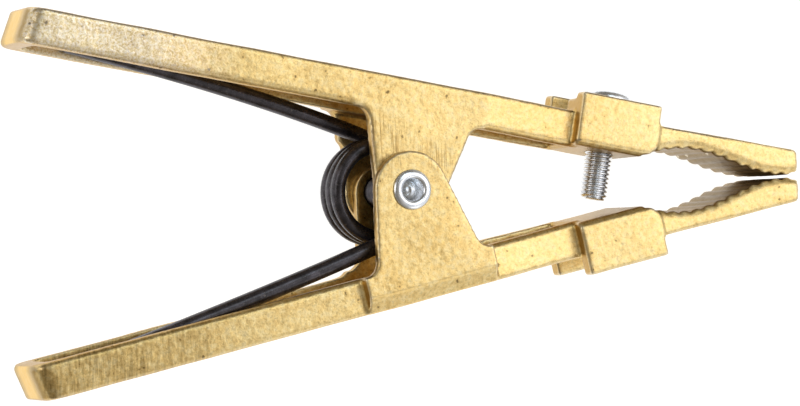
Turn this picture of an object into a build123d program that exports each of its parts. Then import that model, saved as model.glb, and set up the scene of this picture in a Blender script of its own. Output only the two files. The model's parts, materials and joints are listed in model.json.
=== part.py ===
"""Cast brass welding ground clamp: two crossed arms, pivot rivet, torsion spring and cable screw.

+X runs along the clamp from the handles to the jaws, +Z is the pivot axis and +Y is the side of
the upper arm.  The clamp lies on its side, and the origin is under its middle, on the surface
that it lies on.  An arm is drawn in a frame of its own with its origin on the pivot axis: x runs
along the arm towards the jaw, y points outwards across it, and z is parallel to the pivot.  Both
arms are the same casting, and the lower one is turned half a turn about the clamp's length.
"""

import os
from math import acos, atan, atan2, cos, hypot, pi, radians, sin, tan

from build123d import *

# ------------------------------------------------------------------ driving dimensions (mm, degrees)
ARM_ANGLE = 11.6            # slope of an arm's outer line against the clamp's centre line
OUTER = 31.1                # outer line of an arm, from the pivot axis
RIM = 20.7                  # open edge of the channel, from the pivot axis
RIM_BEVEL = 1.1
OUTER_RADIUS = 0.8          # long outer edges
WEB = 3.2                   # thickness of the channel's outer wall
HANDLE_END = 114.9          # end of the handle at its outer line
HANDLE_FLARE = 1.8          # how much further it reaches at the channel's open edge
END_WALL = 3.8              # wall that closes the channel at the handle's end
END_RADIUS = 4.5            # upright corners of the handle's end
HALF_WIDTH = 12.5           # half the width of the handle
CAVITY_HALF = 9.3           # half the width inside its channel
FRONT_HALF = 10.0           # the same two where the arm meets the terminal box
FRONT_CAVITY_HALF = 7.2

EAR_RADIUS = 10.8           # round end of an ear
EAR_FRONT_SLOPE = 15.0      # lean of an ear's front edge; the outer ear's back edge leans by the arm's angle
INNER_EAR_BACK = 9.0        # the inner ear's back edge narrows to this radius round the pivot
EAR_FILLET = 4.0            # inside corners between an ear and the channel's open edge
EAR_GAP = 0.2               # side play between an inner ear and the outer ear over it
INNER_TRIM = (7.3, 22.0)    # the far ears are cut back to this far behind the pivot, and over this height
OUTER_TRIM = (9.3, 15.5)
BULGE_FACE = 16.0           # face of the outer ear, from the middle of the clamp
BULGE_BACK = 19.5           # reach of the bulge that carries it, behind the pivot
BULGE_FRONT = 20.2          # and ahead of it
BULGE_BEVEL = 4.5           # the bulge slopes back to the arm's side over this height
BULGE_STEP = 0.3            # and still stands this proud of it at the outer line

BOX_BACK = 47.9             # terminal box: its two ends along the arm
BOX_FRONT = 73.0
BOX_TOP = 36.6              # top of the box's two cheeks
BOX_SEAT = 31.4             # floor between the cheeks, where a cable lug lies
BOX_BOTTOM = 21.2
BOX_HALF = 14.0             # half the width over the cheeks
BOX_BEVEL = 1.4
CHEEK = 4.8                 # thickness of a cheek
NIB_SIZE = (2.2, 6.0)       # small stop beside the cable lug, on the drilled seat's back edge
NIB_TOP = 35.0
NIB_Z = 6.0
SCREW_X = 61.2              # place of the cable screw along the arm

JAW_HALF = 13.5             # half the width of the jaw
JAW_TIP = (121.1, 7.4)      # outer corner of the jaw's tip, along and across the clamp
CREST = (84.0, 8.8)         # widest place of the oval gap between the jaws
CLOSE = (116.5, 0.4)        # where the jaws come together, half the slit between them
JAW_START = (72.0, 7.1)     # first tooth, under the box
TEETH = 13
TOOTH_DEPTH = 0.95
TOOTH_PROUD = 0.08          # the bar from which the teeth are cut stands this much over their tips
TOOTH_BEVEL = 2.2           # the teeth's sides slope from here
TOOTH_INSET = 0.8           # to this much inside the jaw's sides
TIP_RADIUS = 1.6

RIVET_RADIUS = 4.5          # pivot rivet, hollow at the end that is rolled over
RIVET_BORE = 3.0
RIVET_HOLLOW = 6.5          # depth of its hollow
RIVET_PLAY = 0.05           # radial play of the ears on the rivet
NEAR_HEAD_RADIUS = 5.7      # rolled rim
FAR_HEAD_RADIUS = 6.6       # factory head on the other end
HEAD_HEIGHT = 1.0
HEAD_PLAY = 0.05

WIRE = 4.2                  # torsion spring's wire
COIL_RADIUS = 13.1          # middle of the wire in the coil
COIL_BACK = 4.6             # the coil hangs this much behind the pivot axis
COIL_HALF = 9.2             # half the coil's length
COIL_TURNS = 4              # turns side by side
LEG_ANGLE = 21.5            # slope of a leg where it leaves the coil
LEG_END = 98.0              # end of a leg, behind the pivot
LEG_PLAY = 0.15             # the leg's end lies this close to the channel's floor
LEG_BOW = 0.8               # a leg bows this much off a straight line

SCREW_RADIUS = 4.0          # M8 cable screw
SCREW_PLAY = 0.02
SCREW_END = 8.1             # end of the screw, from the pivot axis across the arm
SCREW_HEAD_RADIUS = 7.8
SCREW_HEAD_HEIGHT = 4.7
SCREW_HEAD_ROUND = 2.4      # rounding of the pan head's rim
RECESS = (8.4, 1.7)         # cross recess, length and width of each of its two slots
RECESS_DEPTH = 2.6
WASHER_RADIUS = 8.8
WASHER_HEIGHT = 1.6
LOCK_RADIUS = 7.0           # split spring washer
LOCK_HEIGHT = 2.1
LOCK_GAP = 1.4
WASHER_BORE = 4.25

# ------------------------------------------------------------------ frames
slope = radians(ARM_ANGLE)
end_lean = atan(HANDLE_FLARE / (OUTER - RIM))
handle_tip = (HANDLE_END + HANDLE_FLARE - RIM_BEVEL * sin(end_lean), RIM + RIM_BEVEL * cos(end_lean))
handle_reach = handle_tip[0] * cos(slope) - handle_tip[1] * sin(slope)
head_face = BULGE_FACE + HEAD_PLAY + HEAD_HEIGHT
pivot = ((handle_reach - JAW_TIP[0]) / 2, 0, head_face)

clamp_frame = Plane(origin=pivot, x_dir=(1, 0, 0), z_dir=(0, 0, 1))
upper_frame = Plane(origin=pivot, x_dir=(cos(slope), -sin(slope), 0), z_dir=(0, 0, 1))
lower_frame = Plane(origin=pivot, x_dir=(cos(slope), sin(slope), 0), z_dir=(0, 0, -1))
screw_frame = Plane(
    origin=upper_frame.from_local_coords((SCREW_X, BOX_SEAT, 0)),
    x_dir=upper_frame.x_dir,
    z_dir=upper_frame.y_dir,
)


def to_arm(along, across):
    """A point given along and across the clamp, seen from the pivot, in the frame of its arm."""
    return (along * cos(slope) - across * sin(slope), along * sin(slope) + across * cos(slope))


def level(y):
    """Plane along the arm at the height y across it, facing the pivot."""
    return Plane.XZ.offset(-y)


# ------------------------------------------------------------------ the arms' casting
def jaw_gap(along):
    """Half the gap between the jaws: a parabola up to the crest, then half a cosine wave."""
    if along < CREST[0]:
        share = (CREST[0] - along) / (CREST[0] - JAW_START[0])
        return CREST[1] - (CREST[1] - JAW_START[1]) * share**2
    share = min((along - CREST[0]) / (CLOSE[0] - CREST[0]), 1)
    return CLOSE[1] + (CREST[1] - CLOSE[1]) * (1 + cos(pi * share)) / 2


def jaw_point(share, depth):
    """Point of the jaw's inner face at a share of its length, set back into the jaw by depth."""
    along = JAW_START[0] + share * (JAW_TIP[0] - TIP_RADIUS - JAW_START[0])
    step = 0.01
    rise = (jaw_gap(along + step) - jaw_gap(along - step)) / (2 * step)
    length = (1 + rise**2) ** 0.5
    return to_arm(along - depth * rise / length, jaw_gap(along) + depth / length)


with BuildPart() as casting:
    # channel bar, from the handle's end into the terminal box
    with BuildSketch(Plane.XY.offset(-HALF_WIDTH)):
        with BuildLine():
            Polyline(
                (-HANDLE_END, OUTER),
                (-HANDLE_END - HANDLE_FLARE, RIM),
                (BOX_BACK + 2, RIM),
                (BOX_BACK + 2, OUTER),
                close=True,
            )
        make_face()
    extrude(amount=2 * HALF_WIDTH)
    end_face = casting.faces().sort_by(Axis.X)[0]
    fillet(end_face.edges().sort_by(Axis.Z)[0:1] + end_face.edges().sort_by(Axis.Z)[-1:], END_RADIUS)

    # it narrows ahead of the ears
    with BuildSketch(level(OUTER + 1)):
        with BuildLine():
            Polyline(
                (BULGE_FRONT, HALF_WIDTH),
                (BOX_BACK, FRONT_HALF),
                (BOX_BACK + 3, FRONT_HALF),
                (BOX_BACK + 3, HALF_WIDTH + 1),
                (BULGE_FRONT, HALF_WIDTH + 1),
                close=True,
            )
        make_face()
        mirror(about=Plane.XZ)
    extrude(amount=OUTER - RIM + 2, mode=Mode.SUBTRACT)
    fillet(casting.faces().sort_by(Axis.Y)[-1].edges().sort_by(Axis.X)[:-1], OUTER_RADIUS)
    chamfer(casting.faces().sort_by(Axis.Y)[0].edges().sort_by(Axis.X)[:-1], RIM_BEVEL)

    # the channel, open towards the other arm
    floor = OUTER - WEB
    with BuildSketch(level(floor)) as channel:
        with BuildLine():
            half = Polyline(
                (-HANDLE_END + END_WALL, 0),
                (-HANDLE_END + END_WALL, CAVITY_HALF),
                (BULGE_FRONT, CAVITY_HALF),
                (BOX_BACK + 1, FRONT_CAVITY_HALF),
                (BOX_BACK + 1, 0),
            )
            mirror(half, about=Plane.XZ)
        make_face()
        fillet(channel.vertices().group_by(Axis.X)[0], END_RADIUS - END_WALL / 2)
    extrude(amount=floor - RIM + 1, mode=Mode.SUBTRACT)

    # terminal box, a block with a seat between two cheeks
    with BuildSketch(Plane.YZ.offset(BOX_BACK)):
        with BuildLine():
            half = Polyline(
                (BOX_BOTTOM, 0),
                (BOX_BOTTOM, BOX_HALF - BOX_BEVEL),
                (BOX_BOTTOM + BOX_BEVEL, BOX_HALF),
                (BOX_TOP, BOX_HALF),
                (BOX_TOP, BOX_HALF - CHEEK),
                (BOX_SEAT, BOX_HALF - CHEEK),
                (BOX_SEAT, 0),
            )
            mirror(half, about=Plane.XZ)
        make_face()
    extrude(amount=BOX_FRONT - BOX_BACK)

    # ears: one flush with the channel's side, one in front of the other arm's flush ear
    root = RIM + WEB
    lean = radians(EAR_FRONT_SLOPE)
    outer_back = (-EAR_RADIUS * cos(slope), -EAR_RADIUS * sin(slope))
    back_root = (outer_back[0] - (root - outer_back[1]) * tan(slope), root)
    inner_turn = atan2(back_root[1], back_root[0]) + acos(INNER_EAR_BACK / hypot(*back_root))
    inner_back = (INNER_EAR_BACK * cos(inner_turn), INNER_EAR_BACK * sin(inner_turn))
    front_end = (EAR_RADIUS * cos(lean), -EAR_RADIUS * sin(lean))
    for face, thickness, back_end, low in (
        (CAVITY_HALF, HALF_WIDTH - CAVITY_HALF, inner_back, (INNER_EAR_BACK + EAR_RADIUS) / 2),
        (-BULGE_FACE, BULGE_FACE - HALF_WIDTH - EAR_GAP, outer_back, EAR_RADIUS),
    ):
        with BuildSketch(Plane.XY.offset(face)) as ear:
            with BuildLine():
                Polyline(
                    back_end,
                    back_root,
                    (front_end[0] + (root - front_end[1]) * tan(lean), root),
                    front_end,
                )
                ThreePointArc(front_end, (0, -low), back_end)
            make_face()
            with Locations(((BULGE_FRONT - BULGE_BACK) / 2, RIM + WEB / 2)):
                Rectangle(BULGE_FRONT + BULGE_BACK, WEB)
            at_rim = ear.vertices().group_by(lambda v: abs(v.Y - RIM))[0]
            fillet(at_rim.filter_by(lambda v: abs(v.X) < BULGE_BACK - 1), EAR_FILLET)
            Circle(RIVET_RADIUS + RIVET_PLAY, mode=Mode.SUBTRACT)
        extrude(amount=thickness)
    with BuildSketch(Plane.YZ.offset(-BULGE_BACK)):
        with BuildLine():
            Polyline(
                (RIM, -CAVITY_HALF),
                (RIM, -BULGE_FACE),
                (OUTER - BULGE_BEVEL, -BULGE_FACE),
                (OUTER, -HALF_WIDTH - BULGE_STEP),
                (OUTER, -CAVITY_HALF),
                close=True,
            )
        make_face()
    extrude(amount=BULGE_BACK + BULGE_FRONT)

with BuildPart() as jaw:
    # a bar with a smooth inner face
    with BuildSketch(Plane.XY.offset(-JAW_HALF)) as side:
        with BuildLine():
            shares = [i / 8 for i in range(9)]
            Spline([jaw_point(share, -TOOTH_PROUD) for share in shares])
            rounded_to = to_arm(JAW_TIP[0], CLOSE[1] - TOOTH_PROUD + TIP_RADIUS)
            TangentArc(jaw_point(1, -TOOTH_PROUD), rounded_to, tangent=to_arm(1, 0))
            Polyline(
                rounded_to,
                to_arm(*JAW_TIP),
                (BOX_FRONT - 2, OUTER),
                jaw_point(0, -TOOTH_PROUD),
            )
        make_face()
        fillet(side.vertices().sort_by(Axis.Y)[-1], TIP_RADIUS)
    extrude(amount=2 * JAW_HALF)
    # whose two long edges slope back to the jaw's sides
    for way in (-1, 1):
        with BuildLine(Plane.XY.offset(way * JAW_HALF)) as long_edge:
            face_line = Spline([jaw_point(share, 0) for share in shares])
            Line(face_line @ 1, face_line @ 1 + (face_line % 1) * 2 * TIP_RADIUS)
        with BuildSketch(Plane(long_edge.line @ 0, x_dir=(0, 0, 1), z_dir=long_edge.line % 0)):
            with BuildLine():
                Polyline(
                    (0, -TOOTH_BEVEL),
                    (-way * TOOTH_INSET * (1 + TIP_RADIUS / TOOTH_BEVEL), TIP_RADIUS),
                    (way, TIP_RADIUS),
                    (way, -TOOTH_BEVEL),
                    close=True,
                )
            make_face()
        sweep(path=long_edge.line, mode=Mode.SUBTRACT)

with BuildPart() as toothed_arm:
    add(casting.part)
    add(jaw.part)
    # rounded teeth right across the jaw and the box over its first ones
    with BuildSketch(Plane.XY.offset(-BOX_HALF - 1)):
        with BuildLine():
            for i in range(TEETH):
                ThreePointArc(
                    jaw_point(i / TEETH, TOOTH_DEPTH),
                    jaw_point((i + 0.5) / TEETH, 0),
                    jaw_point((i + 1) / TEETH, TOOTH_DEPTH),
                )
            Polyline(
                jaw_point(1, TOOTH_DEPTH),
                to_arm(JAW_TIP[0] + 1, CLOSE[1]),
                to_arm(JAW_TIP[0] + 1, -CREST[1]),
                to_arm(JAW_START[0], -CREST[1]),
                jaw_point(0, TOOTH_DEPTH),
            )
        make_face()
    extrude(amount=2 * BOX_HALF + 2, mode=Mode.SUBTRACT)

with BuildPart() as lower_arm:
    with Locations(lower_frame):
        add(toothed_arm.part)
    # the ear on the far side is ground back behind the rivet
    with BuildSketch(clamp_frame.offset(-HALF_WIDTH - EAR_GAP / 2)):
        with BuildLine():
            Polyline(
                (0, EAR_RADIUS + 2),
                (-EAR_RADIUS - 8, EAR_RADIUS + 2),
                (-EAR_RADIUS - 8, -INNER_TRIM[1]),
                (-INNER_TRIM[0] - 2, -INNER_TRIM[1]),
                (-INNER_TRIM[0], -INNER_TRIM[1] + 2),
                (-INNER_TRIM[0], 0),
                (0, 0),
                close=True,
            )
        make_face()
        Circle(INNER_TRIM[0], mode=Mode.SUBTRACT)
    extrude(amount=HALF_WIDTH - CAVITY_HALF + EAR_GAP, mode=Mode.SUBTRACT)
lower_arm.part.label = "lower_arm"

with BuildPart() as upper_arm:
    with Locations(upper_frame):
        add(toothed_arm.part)
    # drilled and tapped for the cable screw, with a small stop for the cable lug
    with Locations(screw_frame):
        Hole(SCREW_RADIUS + SCREW_PLAY, BOX_SEAT - BOX_BOTTOM + 2)
    with BuildSketch(screw_frame):
        with Locations((BOX_BACK + NIB_SIZE[0] / 2 - SCREW_X, -NIB_Z)):
            Rectangle(*NIB_SIZE)
    extrude(amount=NIB_TOP - BOX_SEAT)
    # the ear on the far side is ground back behind the rivet
    with BuildSketch(clamp_frame.offset(-BULGE_FACE - EAR_GAP / 2)):
        with BuildLine():
            Polyline(
                (0, -EAR_RADIUS - 2),
                (-EAR_RADIUS - 8, -EAR_RADIUS - 2),
                (-EAR_RADIUS - 8, OUTER_TRIM[1]),
                (-OUTER_TRIM[0] - 2, OUTER_TRIM[1]),
                (-OUTER_TRIM[0], OUTER_TRIM[1] - 2),
                (-OUTER_TRIM[0], 0),
                (0, 0),
                close=True,
            )
        make_face()
        Circle(OUTER_TRIM[0], mode=Mode.SUBTRACT)
    extrude(amount=BULGE_FACE - HALF_WIDTH, mode=Mode.SUBTRACT)
upper_arm.part.label = "upper_arm"

# ------------------------------------------------------------------ pivot rivet
with BuildPart() as pivot_rivet:
    with BuildSketch(clamp_frame):
        Circle(RIVET_RADIUS)
    extrude(amount=head_face - HEAD_HEIGHT / 2, both=True)
    for way, radius in ((1, NEAR_HEAD_RADIUS), (-1, FAR_HEAD_RADIUS)):
        with BuildSketch(clamp_frame.offset(way * (head_face - HEAD_HEIGHT))):
            Circle(radius)
        extrude(amount=way * HEAD_HEIGHT)
    ends = pivot_rivet.faces().filter_by(Axis.Z).group_by(Axis.Z)
    fillet(ends[0].edges() + ends[-1].edges(), HEAD_HEIGHT * 0.6)
    with Locations(clamp_frame.offset(head_face)):
        Hole(RIVET_BORE, RIVET_HOLLOW)
pivot_rivet.part.label = "pivot_rivet"

# ------------------------------------------------------------------ torsion spring
coil_centre = to_arm(-COIL_BACK, 0)
leg_turn = radians(LEG_ANGLE - ARM_ANGLE)
leg_start = (coil_centre[0] + COIL_RADIUS * sin(leg_turn), coil_centre[1] + COIL_RADIUS * cos(leg_turn))
leg_end = (-LEG_END, OUTER - WEB - WIRE / 2 - LEG_PLAY)
coil_axis = Axis(clamp_frame.from_local_coords((-COIL_BACK, 0, 0)), (0, 0, 1))
coil_pitch = (2 * COIL_HALF - WIRE) / (COIL_TURNS - 1)

with BuildPart() as torsion_spring:
    with BuildSketch(Plane(origin=coil_axis.position, x_dir=(1, 0, 0), z_dir=(0, -1, 0))):
        with Locations((COIL_RADIUS, 0)):
            Rectangle(WIRE / 2, 2 * COIL_HALF - WIRE)
            with GridLocations(1, coil_pitch, 1, COIL_TURNS):
                Circle(WIRE / 2)
    revolve(axis=coil_axis)
    for frame in (upper_frame, lower_frame):
        with BuildLine(frame.offset(WIRE / 2 - COIL_HALF)) as leg:
            SagittaArc(leg_start, leg_end, -LEG_BOW)
        with BuildSketch(Plane(origin=leg.line @ 0, z_dir=leg.line % 0)):
            Circle(WIRE / 2 - 0.02)
        sweep(path=leg.line)
torsion_spring.part.label = "torsion_spring"

# ------------------------------------------------------------------ cable screw and its washers
lock_frame = screw_frame.offset(WASHER_HEIGHT)
head_frame = lock_frame.offset(LOCK_HEIGHT)

with BuildPart() as flat_washer:
    with BuildSketch(screw_frame):
        Circle(WASHER_RADIUS)
        Circle(WASHER_BORE, mode=Mode.SUBTRACT)
    extrude(amount=WASHER_HEIGHT)
flat_washer.part.label = "flat_washer"

with BuildPart() as spring_washer:
    with BuildSketch(lock_frame):
        Circle(LOCK_RADIUS)
        Circle(WASHER_BORE, mode=Mode.SUBTRACT)
        with Locations((0, -LOCK_RADIUS)):
            Rectangle(LOCK_GAP, LOCK_RADIUS, mode=Mode.SUBTRACT)
    extrude(amount=LOCK_HEIGHT)
spring_washer.part.label = "spring_washer"

shank_end = SCREW_END - BOX_SEAT - WASHER_HEIGHT - LOCK_HEIGHT
with BuildPart() as cable_screw:
    with BuildSketch(Plane(origin=head_frame.origin, x_dir=head_frame.x_dir, z_dir=-head_frame.y_dir)) as screw_section:
        with BuildLine():
            Polyline(
                (0, SCREW_HEAD_HEIGHT),
                (0, shank_end),
                (SCREW_RADIUS - 0.8, shank_end),
                (SCREW_RADIUS, shank_end + 0.8),
                (SCREW_RADIUS, 0),
                (SCREW_HEAD_RADIUS, 0),
                (SCREW_HEAD_RADIUS, SCREW_HEAD_HEIGHT - 0.4),
                (0, SCREW_HEAD_HEIGHT),
            )
        make_face()
        fillet(screw_section.vertices().group_by(Axis.X)[-1].sort_by(Axis.Y)[-1], SCREW_HEAD_ROUND)
    revolve(axis=Axis(head_frame.origin, head_frame.z_dir))
    with BuildSketch(head_frame.offset(SCREW_HEAD_HEIGHT)):
        with PolarLocations(0, 2, start_angle=45, angular_range=180):
            Rectangle(*RECESS)
    extrude(amount=-RECESS_DEPTH, taper=10, mode=Mode.SUBTRACT)
cable_screw.part.label = "cable_screw"

# ------------------------------------------------------------------ files
os.makedirs("parts", exist_ok=True)
export_step(lower_arm.part, "parts/lower_arm.step")
export_step(upper_arm.part, "parts/upper_arm.step")
export_step(pivot_rivet.part, "parts/pivot_rivet.step")
export_step(torsion_spring.part, "parts/torsion_spring.step")
export_step(flat_washer.part, "parts/flat_washer.step")
export_step(spring_washer.part, "parts/spring_washer.step")
export_step(cable_screw.part, "parts/cable_screw.step")
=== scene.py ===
"""Looks of the brass ground clamp: cast arms, wound spring, hollow rivet, cable screw and washers.

The clamp lies on its side on a pale table.  +X runs from the handles to the jaws, +Z is the pivot
axis, and the arm with the cable screw is on the +Y side.  Lengths are in metres.
"""

import json
import math

import bmesh
import bpy
from mathutils import Matrix, Vector, noise


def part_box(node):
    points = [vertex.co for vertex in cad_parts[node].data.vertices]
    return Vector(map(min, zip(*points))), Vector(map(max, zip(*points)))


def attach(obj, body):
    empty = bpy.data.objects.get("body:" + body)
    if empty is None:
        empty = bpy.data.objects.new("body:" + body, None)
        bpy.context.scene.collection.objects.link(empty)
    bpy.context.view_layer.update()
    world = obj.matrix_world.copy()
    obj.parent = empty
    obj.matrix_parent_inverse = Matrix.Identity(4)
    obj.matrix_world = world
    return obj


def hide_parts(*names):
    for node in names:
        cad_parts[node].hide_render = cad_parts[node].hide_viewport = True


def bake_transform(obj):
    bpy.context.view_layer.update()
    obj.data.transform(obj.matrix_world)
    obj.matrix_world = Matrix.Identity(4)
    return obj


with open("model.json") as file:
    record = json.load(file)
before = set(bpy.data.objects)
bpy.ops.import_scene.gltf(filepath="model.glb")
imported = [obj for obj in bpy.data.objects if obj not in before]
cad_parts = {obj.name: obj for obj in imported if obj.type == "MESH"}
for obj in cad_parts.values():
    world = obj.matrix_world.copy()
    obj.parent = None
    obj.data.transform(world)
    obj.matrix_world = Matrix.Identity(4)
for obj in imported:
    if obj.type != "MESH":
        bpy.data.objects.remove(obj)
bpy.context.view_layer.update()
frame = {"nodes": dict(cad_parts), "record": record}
MM = 0.001                  # places and sizes written as a number times MM are in millimetres

# ------------------------------------------------------------------ places read from the frame
rivet_low, rivet_high = (Vector(corner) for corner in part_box("pivot_rivet"))
PIVOT = (rivet_low + rivet_high) / 2
mounts = {mount["name"]: mount for mount in frame["record"]["mounts"]}
seat = mounts["bare_seat"]
SLOPE = math.atan2(seat["axis"][0], -seat["axis"][1])

UPPER = Matrix.Translation(PIVOT) @ Matrix.Rotation(-SLOPE, 4, "Z")
LOWER = Matrix.Translation(PIVOT) @ Matrix.Rotation(math.pi, 4, "X") @ Matrix.Rotation(-SLOPE, 4, "Z")


# ------------------------------------------------------------------ mesh helpers
CORNER_SHARE = 0.45         # a rounded corner takes at most this much of the sides that meet in it
CENTRE_HOLE = 0.05 * MM     # turned pieces start this far from their axis
WIRE_CAPS = ((0.35, 0.90), (0.50, 0.55))    # a wire's rounded end: reach and size, in wire radii


def mesh_piece(name, verts, faces, smooth=True):
    """A mesh object from lists of points and faces, with its normals made consistent."""
    mesh = bpy.data.meshes.new(name)
    mesh.from_pydata([tuple(v) for v in verts], [], faces)
    work = bmesh.new()
    work.from_mesh(mesh)
    bmesh.ops.recalc_face_normals(work, faces=work.faces)
    work.to_mesh(mesh)
    work.free()
    for polygon in mesh.polygons:
        polygon.use_smooth = smooth
    piece = bpy.data.objects.new(name, mesh)
    bpy.context.scene.collection.objects.link(piece)
    return piece


def apply_modifiers(piece):
    """Applies every modifier of a piece to its mesh."""
    graph = bpy.context.evaluated_depsgraph_get()
    mesh = bpy.data.meshes.new_from_object(piece.evaluated_get(graph))
    piece.modifiers.clear()
    piece.data = mesh


def lathe(name, profile, place, steps=96):
    """A turned piece: a closed profile of (radius, height) about the z axis of place."""
    verts = []
    for i in range(steps):
        turn = 2 * math.pi * i / steps
        verts += [place @ Vector((r * math.cos(turn), r * math.sin(turn), h)) for r, h in profile]
    rows = len(profile)
    faces = []
    for i in range(steps):
        for j in range(rows):
            a, b = i * rows + j, i * rows + (j + 1) % rows
            c, d = ((i + 1) % steps) * rows + (j + 1) % rows, ((i + 1) % steps) * rows + j
            faces.append((a, b, c, d))
    return mesh_piece(name, verts, faces)


def rounded(points, radius, steps=5):
    """A closed outline with each of its corners rounded by at most radius."""
    outline = []
    count = len(points)
    for i in range(count):
        before, here, after = (Vector(points[(i + k) % count]) for k in (-1, 0, 1))
        cut = min(radius, (before - here).length * CORNER_SHARE, (after - here).length * CORNER_SHARE)
        start = here + (before - here).normalized() * cut
        end = here + (after - here).normalized() * cut
        for k in range(steps + 1):
            t = k / steps
            outline.append(start * (1 - t) ** 2 + here * 2 * t * (1 - t) + end * t**2)
    return outline


def tube(name, path, radii, sides=20):
    """A round wire with rounded ends, and a radius for each point of its path.

    The path never runs parallel to the pivot axis.
    """
    rings = []
    for i, (point, radius) in enumerate(zip(path, radii)):
        along = (path[min(i + 1, len(path) - 1)] - path[max(i - 1, 0)]).normalized()
        across = along.cross(Vector((0, 0, 1))).normalized()
        rings.append((point, along, across, across.cross(along), radius))
    for end, way in ((0, -1), (-1, 1)):
        point, along, across, up, radius = rings[end]
        new = [(point + along * way * radius * f, along, across, up, radius * s) for f, s in WIRE_CAPS]
        rings = list(reversed(new)) + rings if way < 0 else rings + new
    verts = []
    for point, _, across, up, size in rings:
        for k in range(sides):
            turn = 2 * math.pi * k / sides
            verts.append(point + (across * math.cos(turn) + up * math.sin(turn)) * size)
    faces = []
    for i in range(len(rings) - 1):
        for k in range(sides):
            a, b = i * sides + k, i * sides + (k + 1) % sides
            faces.append((a, b, b + sides, a + sides))
    faces.append(tuple(range(sides)))
    faces.append(tuple(range((len(rings) - 1) * sides, len(rings) * sides)))
    return mesh_piece(name, verts, faces)


# ------------------------------------------------------------------ material helpers
SPOT_CORE = 0.45            # a spot's mask is whole out to this share of its radius


def material(name):
    """A new node material, with its tree, its Principled shader and the object coordinates."""
    made = bpy.data.materials.new(name)
    made.use_nodes = True
    tree = made.node_tree
    where = tree.nodes.new("ShaderNodeTexCoord").outputs["Object"]
    return made, tree, tree.nodes["Principled BSDF"], where


def node(tree, kind, **values):
    """A new node, with sockets set by name and attributes set where no socket has the name."""
    made = tree.nodes.new(kind)
    for key, value in values.items():
        title = key.replace("_", " ")
        if title in made.inputs:
            made.inputs[title].default_value = value
        else:
            setattr(made, key, value)
    return made


def ramp(tree, source, stops):
    """A colour ramp on a value; stops are (position, colour or grey level)."""
    made = tree.nodes.new("ShaderNodeValToRGB")
    while len(made.color_ramp.elements) < len(stops):
        made.color_ramp.elements.new(0.5)
    for element, (position, level) in zip(made.color_ramp.elements, stops):
        element.position = position
        element.color = (*level, 1) if isinstance(level, tuple) else (level, level, level, 1)
    tree.links.new(source, made.inputs["Fac"])
    return made.outputs["Color"]


def mixed(tree, factor, a, b, blend="MIX"):
    """Mix of two colours, each a socket or a plain colour; the factor is a socket or a number."""
    made = tree.nodes.new("ShaderNodeMix")
    made.data_type = "RGBA"
    made.blend_type = blend
    for socket, value in ((0, factor), (6, a), (7, b)):
        if isinstance(value, bpy.types.NodeSocket):
            tree.links.new(value, made.inputs[socket])
        else:
            made.inputs[socket].default_value = (*value, 1) if isinstance(value, tuple) else value
    return made.outputs[2]


def product(tree, a, b):
    """Two colours or masks multiplied."""
    return mixed(tree, 1.0, a, b, "MULTIPLY")


def faded(tree, mask, share):
    """A mask weakened to a share of itself."""
    return product(tree, mask, (share, share, share))


def noise_value(tree, where, scale, detail, roughness):
    """Fractal noise from 0 to 1; its largest marks are about 1 / scale metres wide."""
    made = node(tree, "ShaderNodeTexNoise", Scale=scale, Detail=detail, Roughness=roughness)
    tree.links.new(where, made.inputs["Vector"])
    return made.outputs["Fac"]


def stretched(tree, where, scale, turn=0.0):
    """Object coordinates scaled by axis, for marks that are longer one way."""
    made = tree.nodes.new("ShaderNodeMapping")
    made.inputs["Scale"].default_value = scale
    made.inputs["Rotation"].default_value = (0, 0, turn)
    tree.links.new(where, made.inputs["Vector"])
    return made.outputs["Vector"]


def bump(tree, shader, heights):
    """Stacks bumps on a shader: (height socket, strength, distance in metres)."""
    last = None
    for height, strength, distance in heights:
        made = node(tree, "ShaderNodeBump", Strength=strength, Distance=distance)
        tree.links.new(height, made.inputs["Height"])
        if last:
            tree.links.new(last, made.inputs["Normal"])
        last = made.outputs["Normal"]
    tree.links.new(last, shader.inputs["Normal"])


def nearness(tree, where, centre, radius, flat=1.0):
    """Mask of a round spot on the clamp: 1 in its middle and 0 from its radius on.

    Its centre is counted from the pivot, and both are in millimetres.  The spot is this many times
    narrower across the clamp, if flat is given.
    """
    shrunk = Vector((1, flat, 1)) / (radius * MM)
    made = node(tree, "ShaderNodeVectorMath", operation="MULTIPLY")
    made.inputs[1].default_value = shrunk
    tree.links.new(where, made.inputs[0])
    part = node(tree, "ShaderNodeVectorMath", operation="DISTANCE")
    part.inputs[1].default_value = (PIVOT + Vector(centre) * MM) * shrunk
    tree.links.new(made.outputs["Vector"], part.inputs[0])
    return ramp(tree, part.outputs["Value"], [(SPOT_CORE, 1.0), (1.0, 0.0)])


def facing(tree, way, direction):
    """How nearly a vector socket points one way: the dot product with a direction."""
    made = node(tree, "ShaderNodeVectorMath", operation="DOT_PRODUCT")
    made.inputs[1].default_value = direction
    tree.links.new(way, made.inputs[0])
    return made.outputs["Value"]


def recesses(tree, distance, samples, deep, clear):
    """Mask of the places that other surfaces close in on, within a distance in metres."""
    hidden = node(tree, "ShaderNodeAmbientOcclusion", Distance=distance, samples=samples)
    return ramp(tree, hidden.outputs["AO"], [(deep, 1.0), (clear, 0.0)])


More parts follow.
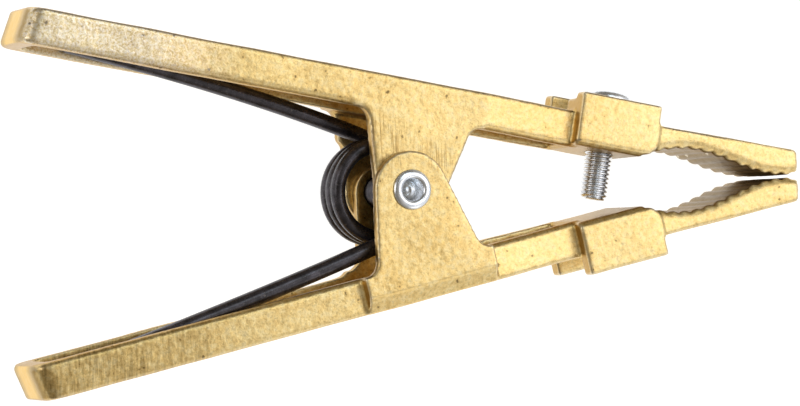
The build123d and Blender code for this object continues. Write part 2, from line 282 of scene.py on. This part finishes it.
# ------------------------------------------------------------------ brass
DEEP_GOLD, PALE_GOLD = (0.82, 0.575, 0.22), (0.88, 0.68, 0.31)
BROWN_GOLD, WARM_GOLD, LIGHT_GOLD = (0.58, 0.37, 0.12), (0.86, 0.64, 0.27), (0.97, 0.83, 0.48)
RUB_BROWN = (0.46, 0.29, 0.10)
# Painted shade, streaked: greys that darken the lower handle towards its end.
STREAKED_SHADE, SHADE_GROUND = (0.62, 0.60, 0.57), (0.90, 0.89, 0.87)
# Painted glints: white sparkle on the upper handle towards its end.
GLINT_WHITE = (1.0, 0.97, 0.93)
# Painted shade: olive brown in the recesses that nearby surfaces close in on.
RECESS_SHADE_OLIVE = (0.46, 0.37, 0.20)
RECESS_ROUGHNESS = 0.60
# Painted shade: brown on the faces that stand upright on the table.
FLANK_SHADE_BROWN = (0.48, 0.27, 0.05)
# Painted shade: dark brown on the jaws' teeth.
TOOTH_SHADE_BROWN = (0.16, 0.13, 0.09)
# Painted reflection: dark and bright bands across the handles' end faces.
END_DARK_REFLECTION, END_BRIGHT_REFLECTION = (0.20, 0.14, 0.06), (0.96, 0.64, 0.17)
# Painted reflection: a dark line along the upper arm's near outer edge.
BROW_DARK_REFLECTION = (0.15, 0.085, 0.035)
# Painted shade for the concave creases, and a painted highlight for the convex edges.
CREASE_SHADE_BROWN, EDGE_HIGHLIGHT = (0.27, 0.15, 0.055), (0.99, 0.92, 0.74)

# Spots on the clamp: centre from the pivot and radius in mm, and how much narrower it is across.
EAR_RUB = ((-6.5, 13.0, 12.5), 11.0)
FRONT_RUB = ((8.5, 9.0, 12.5), 7.0)
LOWER_END_SHADE = ((-104.0, -47.0, 12.5), 66.0)
GLINTING_END = ((-98.0, 45.0, 12.5), 52.0)
JAWS = ((88.0, 0.0, 0.0), 44.0, 3.0)

RUB_MARKS, RUB_SLOPE = (2300, 70, 70), 0.13         # fine marks across the near ear
STREAKS, STREAK_SLOPE = (1500, 160, 160), -0.21     # coarser ones, streaking the painted shade on the lower handle's end
OUTER_EDGE = (0, 0.7071, 0.7071)                    # the way that the upper arm's near outer edge faces
REACH = Vector((-1 / 0.120, 1 / 0.050, 1 / 0.025))  # one over the handles' reach, half width and depth


def brass_skin(tree, where, mottle, grain):
    """Colour of the casting's skin: clouded gold with warm mottling, dark specks and small pits."""
    patches = noise_value(tree, where, scale=30, detail=3, roughness=0.55)
    pits = noise_value(tree, where, scale=520, detail=1, roughness=0.4)
    gold = ramp(tree, patches, [(0.35, DEEP_GOLD), (0.65, PALE_GOLD)])
    warm = ramp(tree, mottle, [(0.38, BROWN_GOLD), (0.50, WARM_GOLD), (0.62, LIGHT_GOLD)])
    colour = mixed(tree, 0.42, gold, warm)
    speck = ramp(tree, grain, [(0.36, 0.55), (0.50, 1.0)])
    colour = mixed(tree, 0.5, colour, speck, "MULTIPLY")
    return product(tree, colour, ramp(tree, pits, [(0.215, 0.35), (0.255, 1.0)]))


def rub_marks(tree, where):
    """Mask of the fine rub marks on the near ears, behind the pivot and ahead of it."""
    along = stretched(tree, where, RUB_MARKS, RUB_SLOPE)
    rubbed = noise_value(tree, along, scale=1.0, detail=3, roughness=0.6)
    marks = ramp(tree, rubbed, [(0.40, 1.0), (0.50, 0.0)])
    behind = nearness(tree, where, *EAR_RUB)
    ahead = nearness(tree, where, *FRONT_RUB)
    return product(tree, marks, mixed(tree, 1.0, behind, ahead, "LIGHTEN"))


def handle_tones(tree, where, colour, grain):
    """Paints streaked shade on the lower handle towards its end, and painted glints that make the upper one
    pale.
    """
    along = stretched(tree, where, STREAKS, STREAK_SLOPE)
    streaks = noise_value(tree, along, scale=1.0, detail=3, roughness=0.6)
    dimmed = ramp(tree, streaks, [(0.38, STREAKED_SHADE), (0.58, SHADE_GROUND)])
    # painted shade on the lower handle towards its end
    colour = mixed(tree, nearness(tree, where, *LOWER_END_SHADE), colour, product(tree, colour, dimmed))
    # painted glints on the upper handle towards its end
    glints = ramp(tree, grain, [(0.42, 0.10), (0.60, 0.62)])
    glints = product(tree, nearness(tree, where, *GLINTING_END), glints)
    return mixed(tree, glints, colour, GLINT_WHITE)


def painted_shading(tree, where, colour, shade, normal):
    """Paints shade: browns the recesses, the faces that stand upright on the table, and most of all the
    teeth.
    """
    # painted shade in the recesses
    colour = mixed(tree, shade, colour, RECESS_SHADE_OLIVE)
    # painted shade on the faces that stand upright on the table
    level = node(tree, "ShaderNodeMath", operation="ABSOLUTE")
    tree.links.new(facing(tree, normal, (0, 0, 1)), level.inputs[0])
    flank = ramp(tree, level.outputs[0], [(0.20, 0.72), (0.60, 0.0)])
    colour = mixed(tree, flank, colour, FLANK_SHADE_BROWN)
    # painted shade on the teeth between the jaws
    tooth_shade = product(tree, flank, nearness(tree, where, *JAWS))
    return mixed(tree, tooth_shade, colour, TOOTH_SHADE_BROWN)


def stripe_and_brow(tree, where, colour, normal):
    """Paints reflections: a bright stripe between dark bands on the handles' end faces, and a dark line on
    the upper arm's outer edge.
    """
    spot = node(tree, "ShaderNodeVectorMath", operation="MULTIPLY_ADD")
    spot.inputs[1].default_value = REACH
    spot.inputs[2].default_value = Vector((0, 0, 0.5)) - PIVOT * REACH
    tree.links.new(where, spot.inputs[0])
    parts = tree.nodes.new("ShaderNodeSeparateXYZ")
    tree.links.new(spot.outputs["Vector"], parts.inputs[0])
    # painted reflection across the handles' end faces
    ended = ramp(tree, facing(tree, normal, (-1, 0, 0)), [(0.70, 0.0), (0.90, 1.0)])
    ended = product(tree, ended, ramp(tree, parts.outputs["X"], [(0.80, 0.0), (0.86, 1.0)]))
    bands = [(0.08, END_DARK_REFLECTION), (0.36, END_BRIGHT_REFLECTION), (0.62, END_BRIGHT_REFLECTION), (0.90, END_DARK_REFLECTION)]
    colour = mixed(tree, faded(tree, ended, 0.8), colour, ramp(tree, parts.outputs["Z"], bands))
    # painted reflection along the upper arm's near outer edge
    brow = ramp(tree, facing(tree, normal, OUTER_EDGE), [(0.90, 0.0), (0.97, 0.85)])
    brow = product(tree, brow, ramp(tree, parts.outputs["Y"], [(0.18, 0.0), (0.26, 1.0)]))
    return mixed(tree, brow, colour, BROW_DARK_REFLECTION)


def cast_brass():
    """Tumbled cast brass: pale gold with a fine pebbled skin, with painted shade in the places hard to
    reach, and painted highlights and reflections.
    """
    made, tree, shader, where = material("cast_brass")
    mottle = noise_value(tree, where, scale=520, detail=4, roughness=0.7)
    grain = noise_value(tree, where, scale=1500, detail=3, roughness=0.7)
    pebbles = noise_value(tree, where, scale=800, detail=2, roughness=0.5)
    rubs = rub_marks(tree, where)
    shade = recesses(tree, distance=0.006, samples=8, deep=0.12, clear=0.50)
    skin = tree.nodes.new("ShaderNodeNewGeometry")

    colour = brass_skin(tree, where, mottle, grain)
    colour = mixed(tree, faded(tree, rubs, 0.75), colour, RUB_BROWN)
    colour = handle_tones(tree, where, colour, grain)
    colour = painted_shading(tree, where, colour, shade, skin.outputs["Normal"])
    colour = stripe_and_brow(tree, where, colour, skin.outputs["Normal"])
    # painted shade in the concave creases
    crease_shade = ramp(tree, skin.outputs["Pointiness"], [(0.430, 0.6), (0.472, 0.0)])
    colour = mixed(tree, crease_shade, colour, CREASE_SHADE_BROWN)
    # painted highlight along the convex edges
    lightened = ramp(tree, skin.outputs["Pointiness"], [(0.52, 0.0), (0.57, 0.6)])
    colour = mixed(tree, lightened, colour, EDGE_HIGHLIGHT)
    tree.links.new(colour, shader.inputs["Base Color"])

    rough = ramp(tree, mottle, [(0.3, 0.28), (0.7, 0.42)])
    rough = mixed(tree, shade, rough, (RECESS_ROUGHNESS, RECESS_ROUGHNESS, RECESS_ROUGHNESS))
    tree.links.new(rough, shader.inputs["Roughness"])
    shader.inputs["Metallic"].default_value = 0.96
    bump(tree, shader, [(pebbles, 0.24, 0.00024), (grain, 0.42, 0.00010), (rubs, 0.25, 0.00006)])
    return made


# ------------------------------------------------------------------ zinc and black steel
ZINC_GREY, ZINC_WHITE, ZINC_SHADE = (0.80, 0.83, 0.87), (0.95, 0.97, 1.0), (0.20, 0.21, 0.25)
STEEL_BLACK, STEEL_SHEEN, STEEL_WORN = (0.030, 0.027, 0.030), (0.100, 0.090, 0.105), (0.20, 0.175, 0.16)
DRAWING_MARKS = (500, 500, 3000)


def zinc_plate():
    """Bright zinc plating with a faint bluish cast and fine rub marks."""
    made, tree, shader, where = material("zinc_plate")
    cloud = noise_value(tree, where, scale=300, detail=4, roughness=0.6)
    fine = noise_value(tree, where, scale=2200, detail=2, roughness=0.5)
    shade = recesses(tree, distance=0.0008, samples=6, deep=0.15, clear=0.60)
    colour = ramp(tree, cloud, [(0.30, ZINC_GREY), (0.65, ZINC_WHITE)])
    # painted shade in the recesses, such as the thread's roots and the rivet's hollow
    colour = mixed(tree, shade, colour, ZINC_SHADE)
    tree.links.new(colour, shader.inputs["Base Color"])
    tree.links.new(ramp(tree, cloud, [(0.3, 0.20), (0.7, 0.32)]), shader.inputs["Roughness"])
    shader.inputs["Metallic"].default_value = 1.0
    bump(tree, shader, [(fine, 0.15, 0.00002), (cloud, 0.20, 0.00005)])
    return made


def black_spring():
    """Black oiled spring steel: near black with a soft grey-violet sheen and drawing marks."""
    made, tree, shader, where = material("black_spring")
    cloud = noise_value(tree, where, scale=260, detail=4, roughness=0.65)
    fine = noise_value(tree, where, scale=1500, detail=3, roughness=0.6)
    along = stretched(tree, where, DRAWING_MARKS)
    drawn = noise_value(tree, along, scale=1.0, detail=2, roughness=0.5)
    colour = ramp(tree, cloud, [(0.35, STEEL_BLACK), (0.70, STEEL_SHEEN)])
    lightened = ramp(tree, fine, [(0.62, 0.0), (0.72, 0.7)])
    colour = mixed(tree, lightened, colour, STEEL_WORN)
    tree.links.new(colour, shader.inputs["Base Color"])
    tree.links.new(ramp(tree, fine, [(0.3, 0.24), (0.7, 0.40)]), shader.inputs["Roughness"])
    shader.inputs["Metallic"].default_value = 0.75
    shader.inputs["Coat Weight"].default_value = 0.25
    shader.inputs["Coat Roughness"].default_value = 0.22
    bump(tree, shader, [(fine, 0.30, 0.00004), (cloud, 0.30, 0.00012), (drawn, 0.25, 0.00004)])
    return made


brass = cast_brass()
zinc = zinc_plate()
black = black_spring()


def dress(piece, look, slot, body, *stands_for):
    """Gives a piece its material and body, and hides the CAD nodes it stands for; slot is not used."""
    piece.data.materials.clear()
    piece.data.materials.append(look)
    if body:
        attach(piece, body)
    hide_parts(*stands_for)


# ------------------------------------------------------------------ camera
YAW = math.radians(21.0)
TILT = math.radians(0.6)
ROLL = math.radians(2.41)
DISTANCE = 1.10
LENS = 178.06
OFF_CENTRE = 3.75 * MM      # the rivet's near face is this much right of and above the view's centre

back = Vector((-math.sin(YAW) * math.cos(TILT), -math.sin(TILT), math.cos(YAW) * math.cos(TILT)))
level_right = Vector((0, 1, 0)).cross(back).normalized()
level_up = back.cross(level_right)
right = level_right * math.cos(ROLL) - level_up * math.sin(ROLL)
up = level_right * math.sin(ROLL) + level_up * math.cos(ROLL)
aim = Vector((PIVOT.x, PIVOT.y, rivet_high.z)) - (right + up) * OFF_CENTRE

camera_data = bpy.data.cameras.new("camera")
camera_data.lens = LENS
camera_data.clip_end = 10
camera = bpy.data.objects.new("camera", camera_data)
bpy.context.scene.collection.objects.link(camera)
rotation = Matrix((right, up, back)).transposed().to_4x4()
camera.matrix_world = Matrix.Translation(aim + back * DISTANCE) @ rotation
bpy.context.scene.camera = camera


# ------------------------------------------------------------------ arms
VOXEL = 0.55 * MM
SMOOTHING = 4
PEBBLE = 0.045 * MM         # height of the casting skin's fine pebbles
PEBBLES_PER_MM = 0.9
WAVE = 0.14 * MM            # and of its long unevenness
WAVES_PER_MM = 0.07


def cast_arm(name, body, place, seed):
    """The arm's CAD shape with a caster's soft edges and an uneven skin, meshed in its own frame.

    The seed shifts the skin's noise, so that the two arms differ.
    """
    piece = frame["nodes"][name].copy()
    piece.data = frame["nodes"][name].data.copy()
    piece.name = name + "_casting"
    piece.parent = None
    piece.matrix_world = Matrix.Identity(4)
    bpy.context.scene.collection.objects.link(piece)
    piece.data.transform(place.inverted())
    remesh = piece.modifiers.new("remesh", "REMESH")
    remesh.mode = "VOXEL"
    remesh.voxel_size = VOXEL
    smooth = piece.modifiers.new("smooth", "SMOOTH")
    smooth.factor = 0.5
    smooth.iterations = SMOOTHING
    apply_modifiers(piece)
    mesh = piece.data
    moved = []
    for vertex in mesh.vertices:
        spot = vertex.co / MM + Vector((seed, 0, 0))
        lift = noise.noise(spot * PEBBLES_PER_MM) * PEBBLE + noise.noise(spot * WAVES_PER_MM) * WAVE
        moved.append(vertex.co + vertex.normal * lift)
    for vertex, spot in zip(mesh.vertices, moved):
        vertex.co = place @ spot
    for polygon in mesh.polygons:
        polygon.use_smooth = True
    dress(piece, brass, "brass", body, name)


cast_arm("lower_arm", "lower", LOWER, 0)
cast_arm("upper_arm", "upper", UPPER, 300)

# ------------------------------------------------------------------ torsion spring
WIRE_RADIUS = 2.08 * MM
LEG_RADIUS = 2.32 * MM      # the legs are a little thicker than the coil
SWELL_STEPS = 4             # and reach it over this many steps of their path
COIL_RADIUS = 13.1 * MM
COIL_BACK = 4.6 * MM        # the coil hangs this much behind the pivot axis
LEG_Z = 7.1 * MM            # each leg lies this far from the clamp's middle
COIL_START = math.radians(-68.5)
COIL_END = math.radians(3 * 360 + 70.9)
COIL_STEP = math.radians(6)
OPENED = 1.3 * MM           # the last part of the coil opens by this much towards the upper leg
OPENING = math.radians(250)
LEG_END = (-98.0 * MM, 24.5 * MM)       # where a leg ends, in its arm's frame
LOWER_BEND = (-35.0 * MM, 17.6 * MM)    # where a leg's two end tangents meet, in its arm's frame
UPPER_BEND = (-45.0 * MM, 21.6 * MM)


def leg_path(place, start, bend, steps=30):
    """A leg from the coil to its end in the arm's channel, bending gently; it lies in one plane."""
    bend = place @ Vector((*bend, -LEG_Z))
    end = place @ Vector((*LEG_END, -LEG_Z))
    shares = [i / steps for i in range(1, steps + 1)]
    return [start * (1 - t) ** 2 + bend * 2 * t * (1 - t) + end * t**2 for t in shares]


def wound_spring():
    """One wire: lower leg, three turns and a part, upper leg."""
    centre = PIVOT - Vector((COIL_BACK, 0, 0))
    steps = round((COIL_END - COIL_START) / COIL_STEP)
    coil = []
    for i in range(steps + 1):
        t = i / steps
        turn = COIL_START + (COIL_END - COIL_START) * t
        radius = COIL_RADIUS + OPENED * max(0, (turn - COIL_END + OPENING) / OPENING) ** 2
        coil.append(centre + Vector((radius * math.cos(turn), radius * math.sin(turn), LEG_Z * (1 - 2 * t))))
    lower_leg = leg_path(LOWER, coil[0], LOWER_BEND)
    upper_leg = leg_path(UPPER, coil[-1], UPPER_BEND)
    path = list(reversed(lower_leg)) + coil + upper_leg
    grown = [min(1, (i + 1) / SWELL_STEPS) for i in range(len(upper_leg))]
    swell = [WIRE_RADIUS + (LEG_RADIUS - WIRE_RADIUS) * share for share in grown]
    piece = tube("wound_spring", path, swell[::-1] + [WIRE_RADIUS] * len(coil) + swell)
    dress(piece, black, "spring_steel", None, "torsion_spring")
    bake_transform(piece)


wound_spring()


# ------------------------------------------------------------------ rivet
SHANK_SHADE_REACH = 14 * MM        # the shank is painted black, as shade, this far from the clamp's middle, between the ears


def rivet():
    """Rivet with a hollow, rolled-over end and a flat factory head on the other."""
    low, high = rivet_low.z - PIVOT.z, rivet_high.z - PIVOT.z
    bore, shank, collar, head, hollow = 3.0 * MM, 4.5 * MM, 5.65 * MM, 6.55 * MM, 6.5 * MM
    under = 1.02 * MM
    profile = [
        (CENTRE_HOLE, high - hollow),
        (bore - 1.6 * MM, high - hollow + 0.2 * MM),
        (bore - 0.6 * MM, high - hollow + 0.8 * MM),
        (bore - 0.15 * MM, high - hollow + 2.0 * MM),
        (bore, high - 1.2 * MM),
        (bore + 0.15 * MM, high - 0.5 * MM),
        (bore + 0.55 * MM, high - 0.10 * MM),
        (bore + 1.1 * MM, high),
        (collar - 0.75 * MM, high - 0.14 * MM),
        (collar - 0.22 * MM, high - 0.45 * MM),
        (collar, high - 0.80 * MM),
        (collar - 0.08 * MM, high - under),
        (shank, high - under),
        (shank, low + under),
        (head - 0.1 * MM, low + under),
        (head, low + 0.8 * MM),
        (head - 0.15 * MM, low + 0.35 * MM),
        (head - 0.7 * MM, low + 0.05 * MM),
        (head - 1.3 * MM, low),
        (CENTRE_HOLE, low),
    ]
    piece = lathe("hollow_rivet", profile, Matrix.Translation(PIVOT))
    dress(piece, zinc, "zinc", "lower", "pivot_rivet")
    # painted shade: the middle of the shank, between the ears, takes the black spring steel
    piece.data.materials.append(black)
    for polygon in piece.data.polygons:
        reach = polygon.center - PIVOT
        outside = reach.to_2d().length > (bore + shank) / 2
        polygon.material_index = int(abs(reach.z) < SHANK_SHADE_REACH and outside)


rivet()

# ------------------------------------------------------------------ cable screw and washers
SEAT_Y = 31.4 * MM          # seat of the cable screw in the upper arm's frame, and its place along it
SCREW_X = 61.2 * MM
FLAT_THICK = 1.6 * MM
LOCK_THICK = 2.1 * MM
WASHER_BORE = 4.25 * MM     # radius of both washers' holes
WASHER_RADIUS = 8.8 * MM
LOCK_RADIUS = 7.0 * MM
LOCK_GAP = math.radians(13)
LOCK_LIFT = 0.10 * MM       # half the rise between the spring washer's cut ends

THREAD_CREST = 4.0 * MM     # radii of an M8 thread's crests and roots
THREAD_ROOT = 3.32 * MM
PITCH = 1.25 * MM
THREAD_FLANK = 3.2          # a thread's side would fall this many depths in one pitch
THREAD_FLAT = 0.45          # less this many, which leaves its crest flat
SCREW_END = 8.1 * MM        # free end of the screw, across the arm from the pivot axis
POINT_LENGTH = 0.9 * MM     # the free end's taper
POINT_SLOPE = 0.8
HEAD_RADIUS = 7.8 * MM
HEAD_HEIGHT = 4.7 * MM
HEAD_ROUND = 2.7 * MM       # the head's upright side stops this far below its top
RECESS_HALF_WIDE = 0.85 * MM            # each of the cross recess's two slots
RECESS_HALF_LONG = 4.2 * MM
RECESS_DEEP = 2.6 * MM
RECESS_LEVELS = ((1 * MM, 1.25), (-RECESS_DEEP, 0.45))      # heights of a slot's cutter, and its size there
SEAT_PLACE = UPPER @ Matrix.Translation((SCREW_X, SEAT_Y, 0)) @ Matrix.Rotation(-math.pi / 2, 4, "X")


def flat_washer():
    """Flat ring with slightly rounded edges, on the seat."""
    corners = [(WASHER_BORE, 0), (WASHER_RADIUS, 0), (WASHER_RADIUS, FLAT_THICK), (WASHER_BORE, FLAT_THICK)]
    piece = lathe("plain_washer", rounded(corners, 0.35 * MM), SEAT_PLACE)
    dress(piece, zinc, "zinc", "upper", "flat_washer")


def spring_washer():
    """Split ring of square wire, its two cut ends sprung a little apart."""
    flat = LOCK_THICK - 2 * LOCK_LIFT
    corners = [(WASHER_BORE, 0), (LOCK_RADIUS, 0), (LOCK_RADIUS, flat), (WASHER_BORE, flat)]
    outline = rounded(corners, 0.3 * MM, 3)
    steps = 72
    rows = len(outline)
    verts = []
    for i in range(steps + 1):
        t = i / steps
        turn = math.pi / 2 + LOCK_GAP / 2 + (2 * math.pi - LOCK_GAP) * t
        for r, h in outline:
            rise = FLAT_THICK + h + 2 * LOCK_LIFT * t
            verts.append(SEAT_PLACE @ Vector((r * math.cos(turn), r * math.sin(turn), rise)))
    faces = [tuple(range(rows)), tuple(range(steps * rows, (steps + 1) * rows))]
    for i in range(steps):
        for j in range(rows):
            a, b = i * rows + j, i * rows + (j + 1) % rows
            faces.append((a, b, b + rows, a + rows))
    piece = mesh_piece("split_washer", verts, faces)
    dress(piece, zinc, "zinc", "upper", "spring_washer")


def threaded_shank(base):
    """Shank from the head's seat to its free end, with a helical thread and a tapered point."""
    end = SCREW_END - SEAT_Y
    around, per_pitch = 72, 12
    rows = round((base - end) / PITCH * per_pitch)
    verts = []
    for j in range(rows + 1):
        height = base + (end - base) * j / rows
        for i in range(around):
            turn = 2 * math.pi * i / around
            phase = (height / PITCH - i / around) % 1
            groove = min(1, max(0, abs(phase - 0.5) * THREAD_FLANK - THREAD_FLAT))
            radius = THREAD_CREST - (THREAD_CREST - THREAD_ROOT) * groove
            radius -= max(0, POINT_LENGTH - (height - end)) * POINT_SLOPE
            verts.append(SEAT_PLACE @ Vector((radius * math.cos(turn), radius * math.sin(turn), height)))
    faces = []
    for j in range(rows):
        for i in range(around):
            a, b = j * around + i, j * around + (i + 1) % around
            faces.append((a, b, b + around, a + around))
    faces.append(tuple(range(around)))
    faces.append(tuple(range(rows * around, (rows + 1) * around)))
    return mesh_piece("screw_shank", verts, faces)


def pan_head(base):
    """Pan head with a rounded rim and a slightly domed top."""
    top = base + HEAD_HEIGHT
    rim_in, rim_up = 2.4 * MM, 2.3 * MM
    profile = [(CENTRE_HOLE, base), (HEAD_RADIUS - 0.2 * MM, base), (HEAD_RADIUS, base + 0.25 * MM)]
    profile.append((HEAD_RADIUS, top - HEAD_ROUND))
    for k in range(1, 8):
        turn = math.pi / 2 * k / 8
        radius = HEAD_RADIUS - rim_in * (1 - math.cos(turn))
        profile.append((radius, top - HEAD_ROUND + rim_up * math.sin(turn)))
    profile.append((HEAD_RADIUS - 2.6 * MM, top - 0.36 * MM))
    profile += [(3.0 * MM, top - 0.08 * MM), (CENTRE_HOLE, top)]
    return lathe("screw_head", profile, SEAT_PLACE)


def cut_cross(head, top):
    """Cuts a cross recess into the head: two tapered slots."""
    for turn in (45, 135):
        place = SEAT_PLACE @ Matrix.Translation((0, 0, top))
        place = place @ Matrix.Rotation(math.radians(turn), 4, "Z")
        verts = []
        for height, grow in RECESS_LEVELS:
            for x, y in ((-1, -1), (1, -1), (1, 1), (-1, 1)):
                along, across = x * RECESS_HALF_LONG * grow, y * RECESS_HALF_WIDE * (0.5 + grow / 2)
                verts.append(place @ Vector((along, across, height)))
        sides = [(i, (i + 1) % 4, 4 + (i + 1) % 4, 4 + i) for i in range(4)]
        cutter = mesh_piece("recess", verts, [(0, 1, 2, 3), (4, 5, 6, 7)] + sides, smooth=False)
        cut = head.modifiers.new("cut", "BOOLEAN")
        cut.operation = "DIFFERENCE"
        cut.object = cutter
        apply_modifiers(head)
        bpy.data.objects.remove(cutter)


def cable_screw():
    """Pan head with a cross recess, on a shank with a rolled thread."""
    base = FLAT_THICK + LOCK_THICK
    dress(threaded_shank(base), zinc, "zinc", "upper")
    head = pan_head(base)
    cut_cross(head, base + HEAD_HEIGHT)
    dress(head, zinc, "zinc", "upper", "cable_screw")


flat_washer()
spring_washer()
cable_screw()


# ------------------------------------------------------------------ table and light
TABLE_GLOW = 0.95           # the table top glows, like a light table, so that it looks plain white
TABLE_HALF = 3.0
BRIGHT_WAY = (0.75, -0.35, 0.45)            # towards the bright part of the room
ROOM_DIM, ROOM_MID, ROOM_BRIGHT = (0.20, 0.18, 0.15), (0.42, 0.39, 0.35), (0.72, 0.73, 0.76)


def table():
    """A pale matt table top under the clamp."""
    made, tree, shader, where = material("pale_table")
    cloud = noise_value(tree, where, scale=3, detail=3, roughness=0.5)
    tree.links.new(ramp(tree, cloud, [(0.3, 0.34), (0.7, 0.37)]), shader.inputs["Base Color"])
    shader.inputs["Roughness"].default_value = 0.9
    shader.inputs["Emission Color"].default_value = (1, 1, 1, 1)
    shader.inputs["Emission Strength"].default_value = TABLE_GLOW
    corners = [(x * TABLE_HALF, y * TABLE_HALF, 0) for x, y in ((-1, -1), (1, -1), (1, 1), (-1, 1))]
    floor = mesh_piece("table_top", corners, [(0, 1, 2, 3)], smooth=False)
    floor.location.z = -0.1 * MM
    floor.data.materials.append(made)


def softbox(name, place, size, power, tint=(1, 1, 1)):
    """A rectangular area light aimed at the clamp's middle."""
    data = bpy.data.lights.new(name, "AREA")
    data.shape = "RECTANGLE"
    data.size, data.size_y = size
    data.energy = power
    data.color = tint
    light = bpy.data.objects.new(name, data)
    bpy.context.scene.collection.objects.link(light)
    light.location = place
    light.rotation_euler = (Vector(place) * -1).to_track_quat("-Z", "Y").to_euler()


def room():
    """Surroundings that are bright beyond the jaws and the lower arm, and dim on the other side."""
    world = bpy.data.worlds.new("room")
    bpy.context.scene.world = world
    world.use_nodes = True
    tree = world.node_tree
    where = tree.nodes.new("ShaderNodeTexCoord").outputs["Generated"]
    stops = [(0.20, ROOM_DIM), (0.58, ROOM_MID), (0.76, ROOM_BRIGHT)]
    shade = ramp(tree, facing(tree, where, BRIGHT_WAY), stops)
    tree.links.new(shade, tree.nodes["Background"].inputs["Color"])
    tree.nodes["Background"].inputs["Strength"].default_value = 1.0


table()
room()
softbox("key", (0.62, 0.16, 0.92), (0.64, 0.66), 2.0)
softbox("side", (0.10, 0.46, 0.92), (0.36, 0.36), 0.85, (0.80, 0.92, 1.0))
softbox("front", (0.42, -0.72, 0.60), (0.5, 0.45), 0.55, (1.0, 0.95, 0.85))
softbox("left", (-0.75, 0.15, 0.42), (0.45, 0.45), 1.1)
bpy.context.scene.view_settings.view_transform = "Standard"
